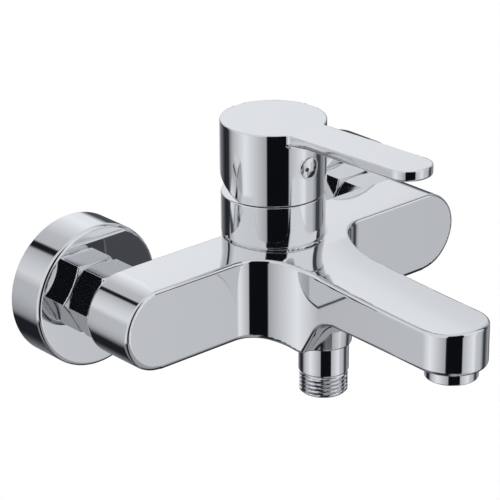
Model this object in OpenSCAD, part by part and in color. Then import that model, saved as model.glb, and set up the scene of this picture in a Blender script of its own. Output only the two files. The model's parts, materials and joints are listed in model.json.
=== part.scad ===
// Wall mounted single lever bath and shower mixer, exposed type.
// Millimetres. The wall face is the plane y = 0, the mixer stands out towards -y,
// x = 0 is midway between the two inlets, and z = 0 is the height of the inlets.
// "Reach" is a distance out from the wall, so a point at reach r lies at y = -r.

/* [Wall connections] */
// Distance between the axes of the two inlets
inlet_spacing = 150; // [146:1:154]
// How far each wall thread sits below the inlet axis (eccentric union)
union_offset = 10; // [6:0.5:12]
// Radius of a wall escutcheon
escutcheon_r = 31.5; // [30:0.5:34]
// Depth of a wall escutcheon
escutcheon_depth = 18.8; // [18:0.1:19]
// Width across flats of a union nut
nut_flats = 30; // [29.5:0.5:32]

/* [Casting] */
// Reach of the back of the arms
arm_back = 35.3; // [35:0.1:36]
// Reach of the front of the arms
arm_front = 62.3; // [61.5:0.1:63]
// Height of the top of the arms
arm_r = 17.5; // [17:0.1:18.5]
// How far the underside of the arms lies below the inlets' axis
arm_low = 18.8; // [17:0.1:19.5]
// Distance from the middle to the centre of an arm's round end
arm_end = 76.5; // [76:0.1:79]
// Width of the upright fillet between an arm and the spout, measured along the arm
root_fillet = 20; // [14:0.5:22]
// Length of that fillet, measured along the spout
fillet_reach = 28; // [18:0.5:30]
// Reach of the tip of the spout
spout_reach = 168; // [166:0.5:176]
// Half of the width of the spout
spout_half = 15.8; // [15.4:0.1:16.5]
// Height of the top of the spout at its tip
tip_top = 11.8; // [11.4:0.1:13]

/* [Handle and sleeve] */
// Reach of the cartridge and handle axis
axis_reach = 46; // [45.5:0.1:46.5]
// Outer radius of the bonnet sleeve
sleeve_r = 22.5; // [22.4:0.1:22.8]
// Height of the flat step at the top of the sleeve
sleeve_top = 36.4; // [36:0.1:36.5]
// Outer radius of the handle
handle_r = 22.8; // [22.5:0.1:23.2]
// Height of the bottom edge of the handle
handle_bottom = 36.9; // [36.8:0.1:37.4]
// Height of the top of the handle
handle_top = 68.8; // [68:0.1:70]
// Reach of the tip of the lever
lever_reach = 137; // [130:0.5:142]
// Half of the lever's width at the handle
lever_root_half = 10.4; // [10:0.1:12.5]
// Half of the lever's width near its tip
lever_tip_half = 9.9; // [9.7:0.1:12]
// Thickness of the lever
lever_thick = 4.6; // [4:0.1:5.5]
// How much the lever rises towards its tip, in degrees
lever_rise = 2; // [0:0.1:4]

/* [Outlets] */
// Reach of the shower outlet
shower_reach = 78; // [77.5:0.1:78.5]
// Height of the lowest end of the shower outlet
shower_bottom = -46.6; // [-48:0.1:-46]
// Reach of the aerator
aerator_reach = 153.4; // [153:0.1:153.6]
// Outer radius of the aerator housing
aerator_r = 11.1; // [10.8:0.1:11.2]
// Height of the lowest end of the aerator
aerator_bottom = -12.9; // [-13.5:0.1:-12.5]

/* [Hidden] */
$fn = 96;
inlet_x = inlet_spacing / 2;
half_inch_r = 20.955 / 2;      // G1/2 major radius
three_quarter_r = 26.441 / 2;  // G3/4 major radius
pipe_pitch = 1.814;            // pitch of both pipe threads
thread_depth = 1.162;          // depth of both pipe threads
fit = 0.1;                     // radial clearance between parts of one body
run = 0.3;                     // radial clearance between moving parts
sleeve_seal_z = 22;            // height of the seal between neck and sleeve
pivot_z = 24;                  // height of the lever's tilt axis
dome_r = 21.5;                 // outer radius of the sleeve's dome, about the pivot
dome_hole_r = 13.8;            // hole in that dome, in which the stem tilts
neck_r = 20;                   // outer radius of the casting's neck, inside the sleeve
neck_top = 33;                 // height of the top of the neck
bore_r = 17.6;                 // cartridge bore
nut_bore_r = 18.6;             // upper bore, for the retaining nut
port_x = 8.5;                  // hot and cold ports of the cartridge
port_y = 4;                    // they lie this far towards the wall
mixed_y = -9.5;                // the mixed water port lies this far outwards
port_r = 3.2;                  // radius of the three ports
stem_half = 4;                 // half of the stem's square
finger_r = 2.2;                // radius of the finger that moves the disc
channel_z = -7.5;              // height of the water channels in the casting
tip_centre = spout_reach - spout_half;
lever_hinge = 66;              // reach at which the lever starts to rise
ring_r = 12;                   // radius of the casting's ring around the shower outlet
ring_z = -23.6;                // height of the underside of that ring
flare_r = 9.8;                 // radius of the fillet from that ring to the spout
flare_x = ring_r + 0.7 + flare_r;
flare_z = -15.5;
bush_top = 0.5;                // height of the top of the spout bush
plug_r = 4.6;                  // radius of the index plug's head
button_z = 52.4;               // height of the index plug
nut_back = 19.6;               // reach of the wall side of a union nut
nut_front = 35.2;              // reach of its outer side
finger_drop = 10.1;            // the stem's finger ends this far below the pivot

// ---- shared shapes ----

// Upright cylinder at a reach, from height z0 to z1.
module upright(r, z0, z1, reach, x = 0)
    translate([x, -reach, z0]) cylinder(r = r, h = z1 - z0);

// Cylinder pointing away from the wall, from reach r0 to r1.
module outward(r, r0, r1, x = 0, z = 0)
    translate([x, -r0, z]) rotate([90, 0, 0]) cylinder(r = r, h = r1 - r0);

// Cylinder along x.
module across(r, x0, x1, reach, z)
    translate([x0, -reach, z]) rotate([0, 90, 0]) cylinder(r = r, h = x1 - x0);

// Ring of revolution with a rectangular section.
module ring(r_in, r_out, z0, z1)
    translate([0, 0, z0]) difference() {
        cylinder(r = r_out, h = z1 - z0);
        translate([0, 0, -1]) cylinder(r = r_in, h = z1 - z0 + 2);
    }

// O-ring lying flat.
module o_ring(r, wire)
    rotate_extrude() translate([r, 0]) circle(r = wire, $fn = 24);

// Places upright children on the cartridge axis, or on a reach.
module on_axis() translate([0, -axis_reach, 0]) children();
module at_reach(reach) translate([0, -reach, 0]) children();

// Turns upright children to point away from the wall, on an inlet axis.
module on_inlet(side, z = 0)
    translate([side * inlet_x, 0, z]) rotate([90, 0, 0]) children();

// Edge of a ring thread that climbs from z0: crest flats at the major radius.
function thread_edge(r, z0, turns) = [
    for (i = [0:turns - 1])
        let (z = z0 + i * pipe_pitch)
        each [[r - thread_depth, z], [r, z + 0.35 * pipe_pitch],
              [r, z + 0.6 * pipe_pitch], [r - thread_depth, z + 0.95 * pipe_pitch]]];

// Hexagonal prism with its corners turned down by a cone at each end.
module hex_nut(flats, z0, z1, chamfer)
    intersection() {
        translate([0, 0, z0]) cylinder(r = flats / sqrt(3), h = z1 - z0, $fn = 6);
        rotate_extrude() polygon([
            [0, z0], [flats / 2 - 0.3, z0], [flats / sqrt(3) + 0.2, z0 + chamfer],
            [flats / sqrt(3) + 0.2, z1 - chamfer], [flats / 2 - 0.3, z1], [0, z1]]);
    }

// Coil spring of round wire as one closed tube, its radius going from r0 to r1 upwards.
function coil_point(r, pitch, a) = [r * cos(a), r * sin(a), pitch * a / 360];
module coil(r0, r1, wire, pitch, turns, steps = 16, sides = 6) {
    count = round(turns * steps);
    points = [for (i = [0:count])
        let (a = 360 * i / steps, c = coil_point(r0 + (r1 - r0) * i / count, pitch, a))
        for (j = [0:sides - 1]) let (b = 360 * j / sides)
            c + wire * [cos(b) * cos(a), cos(b) * sin(a), sin(b)]];
    skin = [for (i = [0:count - 1], j = [0:sides - 1]) let (k = (j + 1) % sides)
        [i * sides + j, i * sides + k, (i + 1) * sides + k, (i + 1) * sides + j]];
    start = [[for (j = [sides - 1:-1:0]) j]];
    end = [[for (j = [0:sides - 1]) count * sides + j]];
    polyhedron(points = points, faces = concat(skin, start, end));
}

// ---- casting ----

// Height of the spout's top: level with the arms at its root, easing down to the tip.
function spout_top(reach) = tip_top + (arm_r - tip_top)
    * pow(max(0, (spout_reach - reach) / (spout_reach - arm_front)), 1.7);

// Height of the spout's underside, a straight slope beyond the shower outlet.
under_root_reach = 98;
under_root_z = -5.6;
under_tip_z = -7.6;

// Plan of everything in front of the arms, with upright fillets to the arms.
module front_plan() {
    translate([-spout_half, -tip_centre]) square([2 * spout_half, tip_centre - axis_reach]);
    translate([0, -tip_centre]) circle(r = spout_half);
    difference() {
        translate([-spout_half - root_fillet, -arm_front - fillet_reach])
            square([2 * (spout_half + root_fillet), fillet_reach + 2]);
        for (side = [-1, 1])
            translate([side * (spout_half + root_fillet), -arm_front - fillet_reach])
                scale([root_fillet, fillet_reach]) circle(r = 1, $fn = 120);
    }
}

// Side view of the spout and of the wall that dips to the shower outlet.
module side_view() {
    polygon(concat(
        [[-axis_reach, arm_r]],
        [for (reach = [arm_front:(spout_reach - arm_front) / 12:spout_reach + 1])
            [-reach, spout_top(reach)]],
        [[-spout_reach - 1, tip_top], [-spout_reach - 1, under_tip_z], [-under_root_reach, under_root_z],
         [-axis_reach, under_root_z]]));
    difference() {
        polygon([[-axis_reach, 0], [-axis_reach, -arm_low], [-arm_front, -arm_low], [-81, -20.9],
                 [-86, -20.9], [-86, under_root_z - 12], [-under_root_reach, under_root_z - 12],
                 [-under_root_reach, 0]]);
        translate([-under_root_reach, under_root_z - 12]) circle(r = 12);
    }
}

module casting_outside() {
    for (side = [-1, 1])
        outward((arm_r + arm_low) / 2, arm_back, arm_front, side * arm_end, (arm_r - arm_low) / 2);
    translate([-arm_end, -arm_front, -arm_low])
        cube([2 * arm_end, arm_front - arm_back, arm_r + arm_low]);
    upright(sleeve_r, -arm_low, arm_r, axis_reach);
    upright(neck_r, 0, neck_top, axis_reach);
    intersection() {
        translate([0, 0, -40]) linear_extrude(80) front_plan();
        union() {
            rotate([90, 0, 90]) translate([0, 0, -40]) linear_extrude(80) side_view();
            at_reach(shower_reach) rotate_extrude() difference() {
                polygon([[0, 0], [flare_x, 0], [flare_x, flare_z], [flare_x - flare_r, flare_z],
                         [ring_r, ring_z], [0, ring_z]]);
                translate([flare_x, flare_z]) circle(r = flare_r);
            }
        }
    }
}

module body_casting() color("silver") difference() {
    casting_outside();
    for (side = [-1, 1]) {
        outward(10, arm_back - 1, arm_back + 11, side * inlet_x);
        outward(8, arm_back, axis_reach - port_y + 5, side * inlet_x);
        across(5, min(side * port_x * 0.75, side * inlet_x), max(side * port_x * 0.75, side * inlet_x),
               axis_reach - port_y, channel_z + 0.5);
        upright(port_r, channel_z, 1, axis_reach - port_y, side * port_x);
        upright(1.6, -2.2, 1, axis_reach - 13, side * 9);
    }
    upright(bore_r, 0, neck_top + 1, axis_reach);
    upright(nut_bore_r, neck_top - 8.2, neck_top + 1, axis_reach);
    on_axis() translate([0, 0, sleeve_seal_z]) rotate_extrude() translate([neck_r, 0])
        square([1.8, 1.4], center = true);
    upright(port_r, channel_z, 1, axis_reach - mixed_y);
    outward(4, axis_reach - mixed_y - 2.5, shower_reach, 0, channel_z);
    upright(6, ring_z, 3, shower_reach);
    upright(10, ring_z - 1, ring_z + 11.5, shower_reach);
    outward(5, shower_reach, aerator_reach, 0, 2.6);
    upright(13, -10, bush_top + 8.4, aerator_reach);
}

// ---- wall side ----

module escutcheon(side) color("gainsboro") on_inlet(side) rotate_extrude() polygon([
    [escutcheon_r - 1.5, 0], [escutcheon_r, 0], [escutcheon_r, escutcheon_depth - 1.6],
    [escutcheon_r - 0.5, escutcheon_depth - 0.5], [escutcheon_r - 1.6, escutcheon_depth],
    [three_quarter_r + fit, escutcheon_depth], [three_quarter_r + fit, escutcheon_depth - 6],
    [three_quarter_r + 2.6, escutcheon_depth - 6], [three_quarter_r + 2.6, escutcheon_depth - 1.6],
    [escutcheon_r - 2.4, escutcheon_depth - 1.6], [escutcheon_r - 1.5, escutcheon_depth - 2.6]]);

wall_turns = 7;   // rings of thread that enter the wall
wall_length = 14;
nose_turns = 9;   // rings of thread that take the escutcheon and the nut
nose_start = 8.6;
nose_end = 26;

module s_union(side) color("darkgoldenrod") difference() {
    union() {
        on_inlet(side, -union_offset) rotate_extrude() polygon(concat(
            [[0, -wall_length], [half_inch_r - thread_depth, -wall_length]],
            thread_edge(half_inch_r, -wall_length + 0.6, wall_turns),
            [[half_inch_r - thread_depth, 0.5], [12, 0.8], [12, 7.4], [0, 7.4]]));
        on_inlet(side) rotate_extrude() polygon(concat(
            [[0, 2.2], [three_quarter_r, 2.2], [three_quarter_r, nose_start - 0.5],
             [three_quarter_r - thread_depth, nose_start]],
            thread_edge(three_quarter_r, nose_start, nose_turns),
            [[three_quarter_r - thread_depth, nose_end], [0, nose_end]]));
    }
    on_inlet(side, -union_offset) translate([0, 0, -wall_length - 1]) cylinder(r = 7, h = wall_length + 7);
    on_inlet(side) translate([0, 0, 3.4]) cylinder(r = 8.2, h = nose_end);
}

module union_nut(side) color("silver") on_inlet(side) difference() {
    hex_nut(nut_flats, nut_back, nut_front, 1.7);
    translate([0, 0, nut_back - 1]) cylinder(r = three_quarter_r + fit, h = 31.4 - nut_back + 1);
    translate([0, 0, 31]) cylinder(r = 10.6, h = 6);
}

module union_tail(side) color("darkgoldenrod") on_inlet(side) difference() {
    union() {
        translate([0, 0, 28.6]) cylinder(r = 12.8, h = 2.5);
        translate([0, 0, 31]) cylinder(r = 10.3, h = arm_back - 31);
        rotate_extrude() polygon(concat(
            [[0, arm_back - 1], [9.9 - thread_depth, arm_back - 1]],
            thread_edge(9.9, arm_back + 2.4, 4),
            [[9.9 - thread_depth, arm_back + 10.4], [0, arm_back + 10.4]]));
    }
    translate([0, 0, 20]) cylinder(r = 7, h = 40);
    translate([0, 0, arm_back + 5]) cylinder(r = 12 / sqrt(3) + 0.7, h = 8, $fn = 6);
}

module inlet_washer(side) color("dimgray") on_inlet(side) ring(8.2, 12.4, nose_end, 28.6);

module inlet_filter(side) color("lightsteelblue") on_inlet(side) difference() {
    union() {
        ring(5.4, 6.6, 26.4, 33);
        translate([0, 0, 25.6]) cylinder(r = 8.1, h = 0.9);
    }
    for (a = [0:60:300]) rotate(a) translate([3.6, 0, 20]) cylinder(r = 1, h = 10, $fn = 24);
    translate([0, 0, 20]) cylinder(r = 1.4, h = 10, $fn = 24);
    for (a = [0:45:315], z = [28.4:2:32]) rotate(a) translate([4, 0, z]) rotate([0, 90, 0])
        cylinder(r = 0.6, h = 4, $fn = 16);
}

module tail_o_rings() color("black") for (side = [-1, 1])
    on_inlet(side) translate([0, 0, arm_back + 1.3]) o_ring(9.32, 0.58);

// ---- sleeve and cartridge ----

module bonnet_sleeve() color("gainsboro") on_axis() difference() {
    union() {
        translate([0, 0, arm_r]) cylinder(r = sleeve_r, h = sleeve_top - arm_r);
        intersection() {
            translate([0, 0, pivot_z]) sphere(r = dome_r);
            translate([0, 0, sleeve_top - 2]) cylinder(r = dome_r, h = 12);
        }
    }
    translate([0, 0, pivot_z]) sphere(r = dome_r - 1.3);
    translate([0, 0, arm_r - 1]) cylinder(r = neck_r + fit, h = neck_top + 0.6 - arm_r + 1);
    translate([0, 0, pivot_z]) cylinder(r = dome_hole_r, h = dome_r + 5);
}

module sleeve_o_ring() color("black") on_axis() translate([0, 0, sleeve_seal_z]) o_ring(19.58, 0.48);

module cartridge_retaining_nut() color("darkgoldenrod") on_axis() difference() {
    union() {
        rotate_extrude() polygon(concat([[0, 25.1], [18.5 - thread_depth, 25.1]],
            thread_edge(18.5, 25.3, 4), [[18.5 - thread_depth, neck_top], [0, neck_top]]));
        translate([0, 0, neck_top - 1]) cylinder(r = 15.8, h = 3.6, $fn = 6);
    }
    translate([0, 0, 20]) cylinder(r = 12.5, h = 20);
}

// Children on the cartridge's three ports: hot, cold and mixed.
module on_ports() on_axis() for (p = [[-port_x, port_y], [port_x, port_y], [0, mixed_y]])
    translate([p[0], p[1], 0]) children();

module cartridge_base_seals() color("black") on_ports() ring(port_r + 0.3, port_r + 1.7, 0, 1.7);

module cartridge_base() color("white") {
    difference() {
        upright(bore_r - fit, 0.5, 5, axis_reach);
        on_ports() {
            translate([0, 0, -1]) cylinder(r = port_r, h = 8);
            translate([0, 0, -1]) cylinder(r = port_r + 1.8, h = 2.7);
            translate([0, 0, 3.5]) cylinder(r = port_r + 1.8, h = 3);
        }
    }
    for (side = [-1, 1]) upright(1.5, -2, 1, axis_reach - 13, side * 9);
}

module disc_seals() color("black") on_ports() ring(port_r + 0.3, port_r + 1.7, 3.5, 5);

module fixed_disc() color("ivory") difference() {
    upright(16.5, 5, 8.4, axis_reach);
    on_ports() translate([0, 0, 4]) cylinder(r = port_r - 0.4, h = 6);
}

module cartridge_housing() color("white") on_axis() difference() {
    union() {
        translate([0, 0, 5]) cylinder(r = bore_r - fit, h = 20);
        translate([0, 0, 24]) cylinder(r = 12.35, h = neck_top - 24);
    }
    translate([0, 0, 4]) cylinder(r = 16.6, h = 13.9);
    translate([0, 0, 17]) cylinder(r = 11.4, h = 20);
}

module temperature_stop_ring() color("firebrick") on_axis() difference() {
    ring(11.45, 12.3, neck_top, neck_top + 1.6);
    translate([0, 8, neck_top]) cube([6, 20, 6], center = true);
}

module cartridge_rotor() color("gainsboro") on_axis() difference() {
    union() {
        translate([0, 0, 16]) cylinder(r = 15.8, h = 1.6);
        translate([0, 0, 17]) cylinder(r = 11.1, h = 15.6);
    }
    translate([0, 0, pivot_z]) cube([8.6, 17.8, 20], center = true);
    translate([-12, 0, pivot_z]) rotate([0, 90, 0]) cylinder(r = 1.55, h = 24);
}

module pivot_pin() color("darkgray") across(1.5, -10.8, 10.8, axis_reach, pivot_z);

module cartridge_stem() color("darkgoldenrod") on_axis() difference() {
    union() {
        translate([-stem_half, -stem_half, 20]) cube([2 * stem_half, 2 * stem_half, 39]);
        translate([0, 0, pivot_z - finger_drop]) cylinder(r = finger_r, h = 8, $fn = 48);
    }
    translate([-6, 0, pivot_z]) rotate([0, 90, 0]) cylinder(r = 1.8, h = 12);
    for (y = [-4.2, 4.2]) translate([0, y, 21]) cube([10, 1.6, 2.4], center = true);
}

module disc_carrier() color("slategray") difference() {
    upright(10.8, 12, 15.7, axis_reach);
    on_axis() translate([0, 0, 15]) cube([5, 7.4, 4.4], center = true);
}

module moving_disc() color("ivory") difference() {
    upright(10.8, 8.45, 12, axis_reach);
    on_axis() translate([0, -2.2, 8]) cylinder(r = 6, h = 2.4);
}

// ---- handle ----

// Outline of the lever seen from above, with rounded corners at its tip.
module lever_plan() {
    corner = 9.5;
    polygon([[-lever_root_half, -lever_hinge + 4], [lever_root_half, -lever_hinge + 4],
             [lever_tip_half, -lever_reach + corner], [lever_tip_half - corner, -lever_reach],
             [-lever_tip_half + corner, -lever_reach], [-lever_tip_half, -lever_reach + corner]]);
    for (side = [-1, 1])
        translate([side * (lever_tip_half - corner), -lever_reach + corner]) circle(r = corner, $fn = 48);
}

module handle() color("gainsboro") difference() {
    union() {
        upright(handle_r, handle_bottom, handle_top, axis_reach);
        translate([0, -lever_hinge, handle_top]) rotate([-lever_rise, 0, 0])
            translate([0, lever_hinge, -lever_thick]) linear_extrude(lever_thick) lever_plan();
    }
    difference() {
        upright(handle_r - 3.2, handle_bottom - 1, handle_top - 5, axis_reach);
        upright(9, pivot_z + 24, handle_top, axis_reach);
    }
    on_axis() translate([0, 0, 52]) cube([2 * stem_half + 0.1, 2 * stem_half + 0.1, 14.2], center = true);
    on_axis() translate([-40, -3, handle_bottom]) rotate([26, 0, 0])
        translate([0, 0, -30]) cube([80, 60, 30]);
    outward(3.2, axis_reach + 15, axis_reach + 30, 0, button_z);
    outward(2.6, axis_reach, axis_reach + 12, 0, button_z);
    outward(plug_r + 0.1, axis_reach + handle_r - 0.7, axis_reach + handle_r + 2, 0, button_z);
}

module handle_set_screw() color("dimgray") difference() {
    outward(2.5, axis_reach + 4.02, axis_reach + 10, 0, button_z);
    translate([0, -axis_reach - 8, button_z]) rotate([90, 0, 0]) cylinder(r = 1.45, h = 5, $fn = 6);
}

module index_plug() color("gainsboro") translate([0, -axis_reach, button_z]) rotate([90, 0, 0]) {
    intersection() {
        translate([0, 0, handle_r - 13.9]) sphere(r = 15);
        translate([0, 0, handle_r - 0.7]) cylinder(r = plug_r, h = 3);
    }
    translate([0, 0, handle_r - 4]) cylinder(r = 3.1, h = 4);
}

// ---- shower outlet ----

module shower_nipple() color("silver") at_reach(shower_reach) difference() {
    rotate_extrude() polygon(concat(
        [[0, shower_bottom], [half_inch_r - thread_depth, shower_bottom]],
        thread_edge(half_inch_r, shower_bottom + 0.6, 5),
        [[half_inch_r - thread_depth, -36.9], [10.85, -36.2], [10.85, ring_z],
         [9.9 - thread_depth, ring_z]],
        thread_edge(9.9, ring_z + 2.6, 4),
        [[9.9 - thread_depth, ring_z + 11], [0, ring_z + 11]]));
    translate([0, 0, shower_bottom - 1]) cylinder(r = 7.4, h = 15);
    translate([0, 0, shower_bottom - 1]) cylinder(r = 5.6, h = 50);
}

module nipple_o_ring() color("black") at_reach(shower_reach) translate([0, 0, ring_z + 1.2])
    o_ring(9.32, 0.58);

module check_valve_housing() color("white") at_reach(shower_reach) difference() {
    translate([0, 0, -45.4]) cylinder(r = 7.3, h = 12.8);
    translate([0, 0, -44.4]) cylinder(r = 6, h = 9.6);
    translate([0, 0, -40]) cylinder(r = 4.2, h = 12);
    for (a = [0:90:270]) rotate(a) translate([3.9, 0, -50]) cylinder(r = 1.5, h = 8, $fn = 24);
    translate([0, 0, -50]) cylinder(r = 1.4, h = 8, $fn = 24);
}

module check_valve_poppet() color("tomato") at_reach(shower_reach) {
    translate([0, 0, -36.5]) cylinder(r = 5.3, h = 1.6);
    translate([0, 0, -43.4]) cylinder(r = 1.1, h = 7.5, $fn = 32);
}

module check_valve_spring() color("lightgray") at_reach(shower_reach) translate([0, 0, -44.1])
    coil(2.2, 2.2, 0.3, 1.62, 4.5);

// ---- spout end ----

module spout_bush() color("darkgoldenrod") at_reach(aerator_reach) {
    rotate_extrude() polygon([
        [aerator_r + run, -7], [12.9, -7], [12.9, -5.4], [12.2, -5.4], [12.2, -4.2],
        [12.9, -4.2], [12.9, bush_top], [7, bush_top], [7, bush_top - 1.2],
        [aerator_r + run, bush_top - 1.2]]);
    difference() {
        ring(2.4, 7.2, bush_top - 1.2, bush_top);
        for (a = [0:60:300]) rotate(a) translate([5.5, 0, -5]) cylinder(r = 1.25, h = 10, $fn = 24);
    }
}

module bush_o_ring() color("black") at_reach(aerator_reach) translate([0, 0, -4.8]) o_ring(12.58, 0.36);

module aerator_housing() color("silver") at_reach(aerator_reach) {
    rotate_extrude() polygon([
        [9.7, aerator_bottom], [aerator_r - 0.4, aerator_bottom], [aerator_r, aerator_bottom + 0.4],
        [aerator_r, -1.9], [9.7, -1.9]]);
    difference() {
        ring(2.05, 9.8, -3.9, -1.9);
        for (a = [0:60:300]) rotate(a) translate([6, 0, -5]) cylinder(r = 2, h = 6, $fn = 32);
    }
}

module diverter_valve() color("darkgoldenrod") at_reach(aerator_reach) {
    translate([0, 0, bush_top + 4]) cylinder(r = 9.2, h = 1.2);
    translate([0, 0, -5.2]) cylinder(r = 1.95, h = bush_top + 9.6);
}

module diverter_washer() color("black") at_reach(aerator_reach) ring(6.4, 9, bush_top + 3, bush_top + 4);

module diverter_circlip() color("darkgray") at_reach(aerator_reach) difference() {
    ring(1.95, 3.4, -4.6, -3.9);
    translate([0, 3, -4.5]) cube([1.6, 4, 3], center = true);
}

module diverter_spring() color("lightgray") at_reach(aerator_reach) translate([0, 0, bush_top + 0.32])
    coil(5.7, 3, 0.3, 1.1, 3);

module aerator_washer() color("black") at_reach(aerator_reach) ring(8.1, 9.6, -6, -3.9);

module aerator_insert() color("white") at_reach(aerator_reach) difference() {
    translate([0, 0, -12.1]) cylinder(r = 9.6, h = 6.1);
    translate([0, 0, -10.9]) cylinder(r = 8.4, h = 3.4);
    for (n = [[0, 1], [2.6, 6], [5.2, 12], [7.4, 18]])
        for (i = [0:n[1] - 1]) rotate(360 * i / n[1]) translate([n[0], 0, -8])
            cylinder(r = 0.6, h = 4, $fn = 16);
    translate([0, 0, -13]) cylinder(r = 8.2, h = 3);
}

module aerator_screen() color("lightgray") at_reach(aerator_reach) translate([0, 0, -12]) {
    ring(7.4, 8.15, 0, 0.5);
    intersection() {
        cylinder(r = 7.6, h = 1);
        union() {
            for (k = [-3:3]) translate([2 * k, 0, 0.25]) cube([0.5, 16, 0.5], center = true);
            for (k = [-3:3]) translate([0, 2 * k, 0.25]) cube([16, 0.5, 0.5], center = true);
        }
    }
}

body_casting();
escutcheon(-1);  // escutcheon_left
escutcheon(1);  // escutcheon_right
s_union(-1);  // s_union_left
s_union(1);  // s_union_right
union_nut(-1);  // union_nut_left
union_nut(1);  // union_nut_right
union_tail(-1);  // union_tail_left
union_tail(1);  // union_tail_right
inlet_washer(-1);  // inlet_washer_left
inlet_washer(1);  // inlet_washer_right
inlet_filter(-1);  // inlet_filter_left
inlet_filter(1);  // inlet_filter_right
tail_o_rings();
bonnet_sleeve();
sleeve_o_ring();
cartridge_retaining_nut();
cartridge_base();
cartridge_base_seals();
disc_seals();
fixed_disc();
cartridge_housing();
temperature_stop_ring();
shower_nipple();
nipple_o_ring();
check_valve_housing();
spout_bush();
bush_o_ring();
cartridge_rotor();
pivot_pin();
handle();
cartridge_stem();
handle_set_screw();
index_plug();
disc_carrier();
moving_disc();
aerator_housing();
diverter_valve();
diverter_washer();
diverter_circlip();
aerator_insert();
aerator_screen();
aerator_washer();
diverter_spring();
check_valve_poppet();
check_valve_spring();
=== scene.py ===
"""Looks of a wall mounted bath and shower mixer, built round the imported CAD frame.

Metres and the frame's own axes: the wall is the plane y = 0, the mixer stands out towards -y,
z is up. Shapes are worked out in millimetres. "Reach" is a distance out from the wall, so a
point at reach r lies at y = -r. "Depth" in a wall piece is the same thing.
"""

import json
import math

import bmesh
import bpy
import numpy as np
from mathutils import Matrix, Vector


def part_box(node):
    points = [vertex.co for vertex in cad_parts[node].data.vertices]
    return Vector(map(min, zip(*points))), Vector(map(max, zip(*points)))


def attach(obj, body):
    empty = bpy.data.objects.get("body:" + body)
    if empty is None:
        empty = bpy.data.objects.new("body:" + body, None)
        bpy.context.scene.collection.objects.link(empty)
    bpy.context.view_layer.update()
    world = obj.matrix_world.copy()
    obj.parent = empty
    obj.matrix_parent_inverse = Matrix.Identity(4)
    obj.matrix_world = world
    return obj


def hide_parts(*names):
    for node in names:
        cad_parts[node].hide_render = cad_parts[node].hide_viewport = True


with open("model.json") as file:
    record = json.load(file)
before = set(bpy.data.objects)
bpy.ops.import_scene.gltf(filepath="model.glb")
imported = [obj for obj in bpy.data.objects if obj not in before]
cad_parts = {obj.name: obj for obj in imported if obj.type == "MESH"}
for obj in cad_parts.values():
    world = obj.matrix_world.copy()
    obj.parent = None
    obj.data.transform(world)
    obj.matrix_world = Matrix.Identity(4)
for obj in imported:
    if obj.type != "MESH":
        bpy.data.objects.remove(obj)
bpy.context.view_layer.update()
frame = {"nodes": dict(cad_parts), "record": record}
SLOTS = {part["node"]: part["material_slot"] for part in frame["record"]["subparts"]}


# ---- sizes in millimetres, from the frame's boxes where they give them ----


def box_mm(node):
    """Lowest and highest corner of a CAD node, in millimetres."""
    low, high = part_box(node)
    return np.array(low) * 1000, np.array(high) * 1000


# Half the standard distance between the two inlets.
INLET_X = 75


class Casting:
    """Sizes of the casting: two arms with round ends, and the spout.

    Heights are above the inlets. A neck with a groove stands on top, inside the bonnet sleeve, and
    the ring round the shower outlet hangs below. The crown is the spout's slightly domed top.
    """

    low, high = box_mm("body_casting")
    arm_back = 0.1 - box_mm("union_nut_left")[0][1]
    arm_front = arm_back + 27
    arm_r = box_mm("bonnet_sleeve")[0][2]
    arm_low = -arm_r - 1.3
    end_r = (arm_r - arm_low) / 2
    arm_end = high[0] - end_r
    tip_reach = -low[1]
    spout_half = 15.8
    tip_centre = tip_reach - spout_half
    tip_top = arm_r - 5.7
    crown_from = 72
    fillet_x, fillet_reach = 20, 29
    edge = 1.3
    neck_r, neck_top = 20, high[2]
    groove_z = 22
    ring_z = low[2]
    nipple_hole_r, nipple_hole_top = 10, ring_z + 11.5
    aerator_hole_r, aerator_hole_top = 13, 8.9
    cartridge_r = 17.6
    far_below, far_above = -40, 60


class Handle:
    """Sizes of the handle, a drum with a lever, and of the sleeve below it.

    The lever starts to rise at the hinge. The drum's underside leans up towards the wall from a
    little way in front of its axis. Inside are a wide cavity, and a post in its middle with a
    pocket for the cartridge's collar and a square socket for its stem.
    """

    low, high = box_mm("handle")
    r = high[0]
    axis = -(high[1] + low[0])
    bottom = low[2]
    skirt_lean = math.radians(26)
    skirt_from = 3
    tip = -low[1] - 0.8
    hinge = 66
    rise = math.radians(2)
    top = high[2] - (tip - hinge) * math.tan(rise)
    thick = 4.6
    root_half = 10.4
    tip_half = 9.9
    corner = 9.6
    wall, roof = 3.2, 5
    post_r = 9
    pocket_r, pocket_height = 9.5, 24
    socket_half, socket_z, socket_rise = 4.05, 52, 7.1
    screw_r, screw_head_r, screw_head_from = 2.6, 3.2, 13
    sleeve_r = box_mm("bonnet_sleeve")[1][0]
    sleeve_top = bottom - 0.5
    pivot_z = 1000 * frame["record"]["behaviour"]["joints"][0]["pos_m"][2]
    plug_z = float(np.mean([corner[2] for corner in box_mm("index_plug")]))
    plug_r = box_mm("index_plug")[1][0]
    plug_front = -box_mm("index_plug")[0][1] - axis


class Outlet:
    """Sizes of the shower nipple, of the flared ring above it, and of the aerator."""

    nipple_low, nipple_high = box_mm("shower_nipple")
    reach = -(nipple_low[1] + nipple_high[1]) / 2
    bottom = nipple_low[2]
    collar_r = nipple_high[0]
    ring_r = 12
    flare_r = 9.8
    flare_z = -15.5
    aerator_low, aerator_high = box_mm("aerator_housing")
    aerator = -(aerator_low[1] + aerator_high[1]) / 2
    aerator_r = aerator_high[0]


class Nut:
    """Sizes of a union nut: a thread from the back, and a smaller hole for the union tail."""

    low, high = box_mm("union_nut_left")
    half = (high[2] - low[2]) / 2
    back, front = -high[1] - 0.6, -low[1]
    thread_end = 31.2
    tail_hole_r = 10.6


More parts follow.
